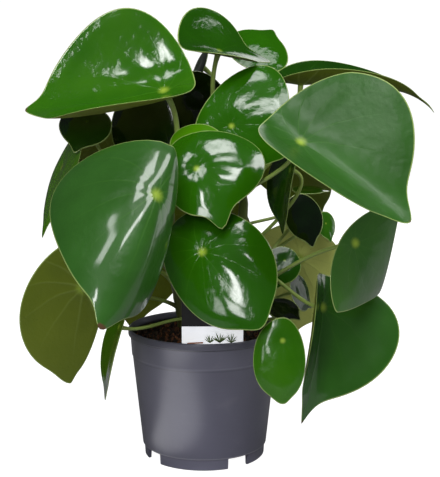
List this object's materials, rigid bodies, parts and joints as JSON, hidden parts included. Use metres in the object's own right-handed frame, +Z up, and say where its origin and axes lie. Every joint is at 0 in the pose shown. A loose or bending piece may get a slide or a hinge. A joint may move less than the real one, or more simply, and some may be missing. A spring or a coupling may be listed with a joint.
{
  "type": "potted peperomia",
  "caption": "Potted peperomia: glossy shield-shaped leaves on arching stalks, growing from soil in a thin tapered nursery pot on short feet, with a care label pushed in at the front.",
  "frame": {"origin": "middle of the whole plant's bounding box in plan, on the ground the pot stands on", "axes": "+Z up out of the pot; -Y towards the front, the side the picture shows; +X to the right as seen from the front. The pot's own axis is 22.5 mm to the left of the origin and 16 mm behind it."},
  "size_m": [0.3248, 0.3227, 0.35],
  "materials": {
    "pot_plastic": "satin",
    "soil_mix": "rough",
    "label_card": "printed",
    "stem_green": "smooth",
    "leaf_green": "glossy"
  },
  "bodies": {
    "root": {"pot": "pot_plastic", "soil": "soil_mix", "care_label": "label_card", "stem_left": "stem_green", "stem_right": "stem_green", "stem_front": "stem_green", "stem_back": "stem_green", "leaf_upper_left": "leaf_green", "leaf_front_left": "leaf_green", "leaf_front_right": "leaf_green", "leaf_front_low": "leaf_green", "leaf_centre": "leaf_green", "leaf_upper_centre": "leaf_green", "leaf_inner_right": "leaf_green", "leaf_top_left": "leaf_green", "leaf_top_right": "leaf_green", "leaf_far_right": "leaf_green", "leaf_left_small": "leaf_green", "leaf_inner_left": "leaf_green", "leaf_left_hanging": "leaf_green", "leaf_left_low": "leaf_green", "leaf_left_edge": "leaf_green", "leaf_right_middle": "leaf_green", "leaf_right_low": "leaf_green", "leaf_right_small": "leaf_green", "leaf_right_behind": "leaf_green", "leaf_right_dark": "leaf_green", "leaf_right_pale": "leaf_green", "leaf_right_thin": "leaf_green", "leaf_inner_small": "leaf_green", "leaf_grey_edge": "leaf_green", "leaf_low_dark": "leaf_green", "leaf_young": "leaf_green", "leaf_rear_dark": "leaf_green", "leaf_rear_grey": "leaf_green", "leaf_back_high": "leaf_green", "leaf_back_right_high": "leaf_green", "leaf_back_left_high": "leaf_green", "leaf_back_low": "leaf_green", "leaf_back_left_low": "leaf_green", "leaf_back_right_low": "leaf_green", "leaf_back_foot": "leaf_green"}
  },
  "joints": []
}
